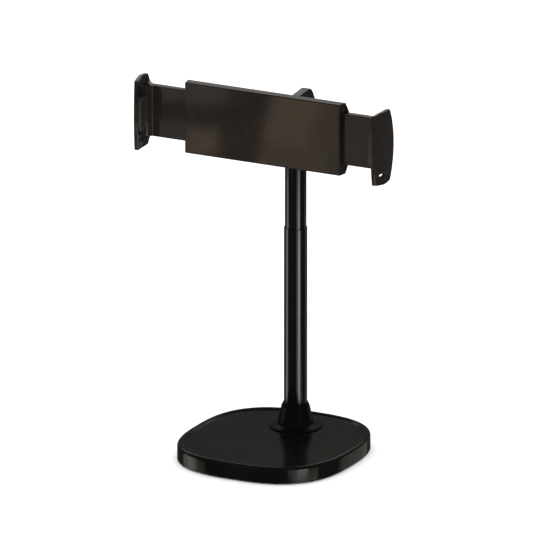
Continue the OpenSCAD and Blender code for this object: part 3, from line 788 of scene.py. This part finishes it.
def jaw_side():
    """The jaw's outline from the side: four arcs, with the corners between them taken off."""
    sink = JAW_END_R - JAW_HALF_H
    arcs = [
        (JAW_MIDDLE_Y, -sink, JAW_END_R), (JAW_MIDDLE_Y, sink, JAW_END_R),
        (JAW_FRONT_Y + JAW_FRONT_R, 0, JAW_FRONT_R), (JAW_REAR_Y - JAW_REAR_R, 0, JAW_REAR_R),
    ]
    points = []
    for c, s in circle_points(1, JAW_STEPS):
        total = 0
        for centre_y, centre_z, radius in arcs:
            across, height = JAW_MIDDLE_Y - centre_y, -centre_z
            along = across * c + height * s
            reach = math.sqrt(along * along + radius * radius - across * across - height * height) - along
            total += reach ** -JAW_CORNERS
        r = total ** (-1 / JAW_CORNERS)
        points.append((JAW_MIDDLE_Y + r * c, CLAMP_Z + r * s))
    return points


def jaw_shift(y):
    """How far the jaw's faces stand in from its crease."""
    if y < CREASE_Y:
        return FRONT_IN * (CREASE_Y - y) / (CREASE_Y - JAW_FRONT_Y)
    return REAR_IN * (y - CREASE_Y) / (JAW_REAR_Y - CREASE_Y)


def half_turned(obj):
    """Turns a piece half a turn about the clamp's front-to-back axis."""
    axis = Matrix.Translation((0, 0, CLAMP_Z * MM))
    obj.data.transform(axis @ Matrix.Rotation(math.pi, 4, "Y") @ axis.inverted())
    return obj


def cut_at(bm, y):
    """Gives a plate's draft an edge along a depth, so that it can bend there."""
    geometry = bm.verts[:] + bm.edges[:] + bm.faces[:]
    bmesh.ops.bisect_plane(bm, geom=geometry, plane_co=(y, 0, 0), plane_no=(1, 0, 0), dist=CUT_TOLERANCE)


def bent_plate(name, bm, mesh, middle):
    """A plate's draft, bent along the jaw's crease and placed with its middle this far right."""
    return placed(name, bm, mesh, lambda y, z, w: (middle - jaw_shift(y) + w, y, z))


def slot_outline(slot_z, grow):
    """The slot's outline, widened mostly along its length."""
    half_l, half_h = SLOT_L / 2 + grow, SLOT_R + grow / 5
    corners = [(-half_l, -half_h), (half_l, -half_h), (half_l, half_h), (-half_l, half_h)]
    return rounded([(SLOT_Y + u, slot_z + v, half_h * 0.99) for u, v in corners], 8)


def slot_mouth(slot_z):
    """What widens the slot towards the jaw's inner face."""
    inner, throat = REACH - JAW_WALL - 3, REACH - JAW_WALL + 1.9
    return rings("slot_mouth", [
        [(x, y, z) for y, z in slot_outline(slot_z, grow)]
        for x, grow in ((inner, SLOT_MOUTH), (throat, 0.01))
    ])


def jaw_wall(name, slot_z):
    bm, mesh = plate(name, jaw_side(), [slot_outline(slot_z, 0)], JAW_WALL, JAW_EDGE)
    for offset in (-CREASE_HALF, 0, CREASE_HALF):
        cut_at(bm, CREASE_Y + offset)
    return bent_plate(name, bm, mesh, REACH - JAW_WALL / 2)


def arm_rack():
    """The toothed finger, which reaches past the pinion."""
    top = ARM_H / 2
    half = (RACK_PITCH - RACK_PLAY) / 4
    tip_half = half + PRESSURE_SLOPE * (RACK_TIP - PITCH_R)
    root_half = half + PRESSURE_SLOPE * (RACK_ROOT - PITCH_R)
    outline = [(FINGER_END, top), (FINGER_END, RACK_ROOT)]
    first = math.ceil(FINGER_END / RACK_PITCH - 0.2) + 0.5
    for i in range(RACK_TEETH):
        x = (first + i) * RACK_PITCH
        outline += [
            (x - root_half, RACK_ROOT), (x - tip_half, RACK_TIP),
            (x + tip_half, RACK_TIP), (x + root_half, RACK_ROOT),
        ]
    outline += [(POCKET_END + 1, RACK_ROOT), (POCKET_END + 1, top)]
    depth = ARM_REAR - SPLIT - 0.02
    return prism("arm_rack", outline, lambda x, z, end: (x, FRONT_Y + SPLIT + end * depth, CLAMP_Z + z))


def arm_web():
    """The wall that joins the finger to the arm's skin."""
    low, high = 12, ARM_H / 2 - 0.7
    left, right = SKIN_END + 0.5, POCKET_END + 1
    outline = [(left, low), (right, low), (right, high), (left, high)]
    front = FRONT_Y + SKIN_REAR - 1
    return prism("arm_web", outline, lambda x, z, end: (x, front + end * 2, CLAMP_Z + z))


def arm_bar(inner):
    """The arm's skin and its solid outer end, with a fillet that runs into the jaw's inner face."""
    sunk = inner + 1.6
    lip = ARM_FRONT - JAW_FILLET - 1
    plan = rounded([
        (SKIN_END, ARM_FRONT, 0.5), (inner, ARM_FRONT, JAW_FILLET), (inner, lip, 0), (sunk, lip, 0),
        (sunk, ARM_REAR, 0), (POCKET_END, ARM_REAR, 0.4), (POCKET_END, SKIN_REAR, 0),
        (SKIN_END, SKIN_REAR, 0.5),
    ], 12)
    low = CLAMP_Z - ARM_H / 2
    bar = prism("arm_bar", plan, lambda x, d, end: (x, FRONT_Y + d, low + end * ARM_H))
    return applied(bevelled(bar, 0.55, angle=50))


def arm_root(inner, side):
    """A fillet that widens the arm towards the jaw: side is 1 above it and -1 below."""
    half = ARM_H / 2
    steps = 8
    sunk = 1.5
    outline = [(inner + sunk, half - sunk), (inner - ARM_ROOT, half - sunk), (inner - ARM_ROOT, half - 0.02)]
    for k in range(steps + 1):
        a = math.pi / 2 * k / steps
        outline.append((inner - ARM_ROOT + ARM_ROOT * math.sin(a), half + ARM_ROOT * (1 - math.cos(a))))
    outline.append((inner + sunk, half + ARM_ROOT))
    front, depth = FRONT_Y + ARM_FRONT + 0.4, ARM_REAR - ARM_FRONT - 0.8
    return prism("arm_root", outline, lambda x, z, end: (x, front + end * depth, CLAMP_Z + side * z))


def jaw_arm(name, slot_z):
    """The sliding arm with its rack and jaw, drawn as the right one."""
    inner = REACH - JAW_WALL - REAR_IN
    wall = jaw_wall(name, slot_z)
    others = [arm_bar(inner), arm_web(), arm_rack(), arm_root(inner, -1), arm_root(inner, 1)]
    combined(wall, others, "UNION")
    return combined(wall, [slot_mouth(slot_z)], "DIFFERENCE")


def grip_pad(name):
    """The pad on the jaw's inner face, drawn as the right one."""
    corners = [
        (grip_low.y, grip_low.z, PAD_CORNER), (grip_high.y, grip_low.z, PAD_CORNER),
        (grip_high.y, grip_high.z, PAD_CORNER), (grip_low.y, grip_high.z, PAD_CORNER),
    ]
    bm, mesh = plate(name, rounded(corners, 10), [], PAD_T, PAD_EDGE)
    cut_at(bm, CREASE_Y)
    return bent_plate(name, bm, mesh, REACH - JAW_WALL + PAD_SUNK - PAD_T / 2)


def make_jaws():
    right = jaw_arm("right_jaw", CLAMP_Z - SLOT_DROP)
    left = half_turned(jaw_arm("left_jaw", CLAMP_Z + SLOT_DROP))
    finished(right, "right_jaw", "clamp_gloss", "right_jaw_arm")
    finished(left, "left_jaw", "clamp_gloss", "left_jaw_arm")
    finished(grip_pad("right_grip"), "right_jaw", "grip_pad", "right_jaw_pad")
    finished(half_turned(grip_pad("left_grip")), "left_jaw", "grip_pad", "left_jaw_pad")


# ---- CAD nodes that stay ----


def dress_cad_nodes():
    """Materials for every CAD node, and a fine bevel on the small parts that show."""
    slots = {part["node"]: part["material_slot"] for part in frame["record"]["subparts"]}
    for name, node in frame["nodes"].items():
        dress(node, slots[name])
    for name in ("tilt_bolt", "tilt_nut", "tilt_washers", "clamp_screws", "swivel_bush", "thrust_washer"):
        smooth(bevelled(frame["nodes"][name], 0.18, segments=2, angle=40))


# ---- Studio ----

WHITE, CREAM, PALE, WARM = (1, 1, 1), (1, 0.92, 0.8), (1, 0.8, 0.62), (1, 0.68, 0.42)
WORLD_LIGHT = 1.5
WORLD_REFLECTED = 0.05
FLOOR_GAP = 0.2
# In metres: how far the floor goes, where the softboxes start and end, and how far off the lights stand
FLOOR_REACH = 40
MAST_HEIGHTS = (-0.2, 0)
FOOT_HEIGHTS = (-0.75, -0.2)
BACK_DISTANCE = 0.75
CARD_DISTANCE = 0.32
# The slant in degrees of the patches in the housing's front
FRONT_LEAN = -14


def make_floor():
    """Plain white paper, just under the foot."""
    floor = thing("floor", bpy.data.meshes.new("floor"))
    bm = bmesh.new()
    bmesh.ops.create_grid(bm, x_segments=8, y_segments=8, size=FLOOR_REACH)
    bm.to_mesh(floor.data)
    bm.free()
    m = Shading("floor_paper")
    paper = m.mixed(m.noise(size=120, detail=2), scaled(WHITE, 0.93), scaled(WHITE, 0.96))
    m.link(paper, m.shader.inputs["Base Color"])
    m.shader.inputs["Roughness"].default_value = 0.9
    floor.data.materials.append(m.material)
    floor.visible_glossy = False
    floor.location.z = -FLOOR_GAP * MM


def make_world():
    """An even white surround, which reflections see only faintly."""
    world = bpy.data.worlds.new("studio")
    world.use_nodes = True
    tree = world.node_tree
    backdrop = tree.nodes["Background"]
    backdrop.inputs["Color"].default_value = (*WHITE, 1)
    path = tree.nodes.new("ShaderNodeLightPath")
    level = tree.nodes.new("ShaderNodeMapRange")
    level.inputs["To Min"].default_value = WORLD_LIGHT
    level.inputs["To Max"].default_value = WORLD_REFLECTED
    tree.links.new(path.outputs["Is Glossy Ray"], level.inputs["Value"])
    tree.links.new(level.outputs["Result"], backdrop.inputs["Strength"])
    bpy.context.scene.world = world


def softbox(name, centre, ahead, width, height, radiance, colour):
    """An upright panel of even light, in metres, which shines ahead and only shows in reflections."""
    data = bpy.data.lights.new(name, "AREA")
    data.shape = "RECTANGLE"
    data.size, data.size_y = width, height
    data.energy = radiance * 4 * width * height
    data.color = colour
    light = thing(name, data)
    back = -Vector(ahead).normalized()
    side = Vector((0, 0, 1)).cross(back).normalized()
    facing = Matrix((side, back.cross(side), back)).transposed().to_4x4()
    light.matrix_world = Matrix.Translation(centre) @ facing
    light.visible_camera = False
    light.visible_diffuse = False
    return light


def standing_softbox(name, turns, heights, radiance, colour=WHITE, distance=0.7):
    """A softbox between two turns round the mast, in degrees to the right of the camera's side."""
    turn = CAMERA_TURN + math.radians(sum(turns) / 2)
    low, high = heights
    width = 2 * distance * math.tan(math.radians(turns[1] - turns[0]) / 2)
    outwards = Vector((math.sin(turn), -math.cos(turn), 0))
    centre = outwards * distance + Vector((0, MAST_Y * MM, (low + high) / 2))
    softbox(name, centre, -outwards, width, high - low, radiance, colour)


def mirrored_card(name, across, heights, radiance, colour, lean=0):
    """A card that the housing's front shows as a patch between these places, in millimetres."""
    ahead = camera_axes()[2]
    away = Vector((ahead.x, -ahead.y, ahead.z))
    middle = Vector((sum(across) / 2, FRONT_Y, sum(heights) / 2))
    side = Vector((-away.y, away.x, 0)).normalized()
    width = (across[1] - across[0]) * abs(side.x)
    height = (heights[1] - heights[0]) * math.cos(CAMERA_RISE)
    centre = middle * MM + away * CARD_DISTANCE
    card = softbox(name, centre, -away, width * MM, height * MM, radiance, colour)
    card.matrix_world = card.matrix_world @ Matrix.Rotation(math.radians(lean), 4, "Z")


def foot_softboxes(name, fans):
    """Softboxes that overlap, as (turn, half width, radiance): a glow that fades to its sides."""
    for i, (turn, half, radiance) in enumerate(fans):
        standing_softbox(f"{name}_{i}", (turn - half, turn + half), FOOT_HEIGHTS, radiance, CREAM)


def make_lights():
    # Seen in the mast and the jaws, and lower down in the collar and the base's wall
    standing_softbox("key", (27, 46), MAST_HEIGHTS, 4.6)
    standing_softbox("key_side", (10, 29), MAST_HEIGHTS, 1.3)
    foot_softboxes("key_foot", [(43, 24, 1.2), (43, 16, 1.5), (43, 9, 1.9)])
    foot_softboxes("left_foot", [(-94, 24, 0.8), (-94, 16, 1.0), (-92, 9, 1.2)])
    standing_softbox("left_strip", (-108, -82), MAST_HEIGHTS, 1.7)
    standing_softbox("right_strip", (108, 140), (MAST_HEIGHTS[0], -0.02), 0.25)
    standing_softbox("right_foot", (108, 142), FOOT_HEIGHTS, 0.3, CREAM)
    # Seen in level tops, from behind
    standing_softbox("back_middle", (130, 230), (0.42, 0.585), 0.36, (1, 0.93, 0.87), BACK_DISTANCE)
    standing_softbox("back_high", (130, 230), (0.585, 1.1), 0.85, (1, 0.96, 0.93), BACK_DISTANCE)
    standing_softbox("back_low", (130, 230), (-0.1, 0.42), 0.055, CREAM, BACK_DISTANCE)
    # Seen in the housing's front
    mirrored_card("front_right", (4, 125), (215, 330), 0.2, PALE, FRONT_LEAN)
    mirrored_card("front_middle", (5, 66), (232, 330), 0.2, WARM, FRONT_LEAN)
    mirrored_card("front_glow", (6, 48), (258, 330), 0.22, WARM, FRONT_LEAN)
    mirrored_card("left_low", (-112, -38), (225, 262), 0.24, PALE)
    mirrored_card("left_glow", (-66, -40), (242, 260), 0.4, WARM)
    mirrored_card("left_top", (-112, -30), (279, 310), 0.3, PALE)


make_camera()
make_world()
make_floor()
make_lights()
dress_cad_nodes()
make_base_cover()
make_foot()
make_mast()
make_collar()
make_neck()
make_knuckle()
make_clamp_front()
make_clamp_back()
make_jaws()
bpy.context.scene.view_settings.view_transform = "Standard"
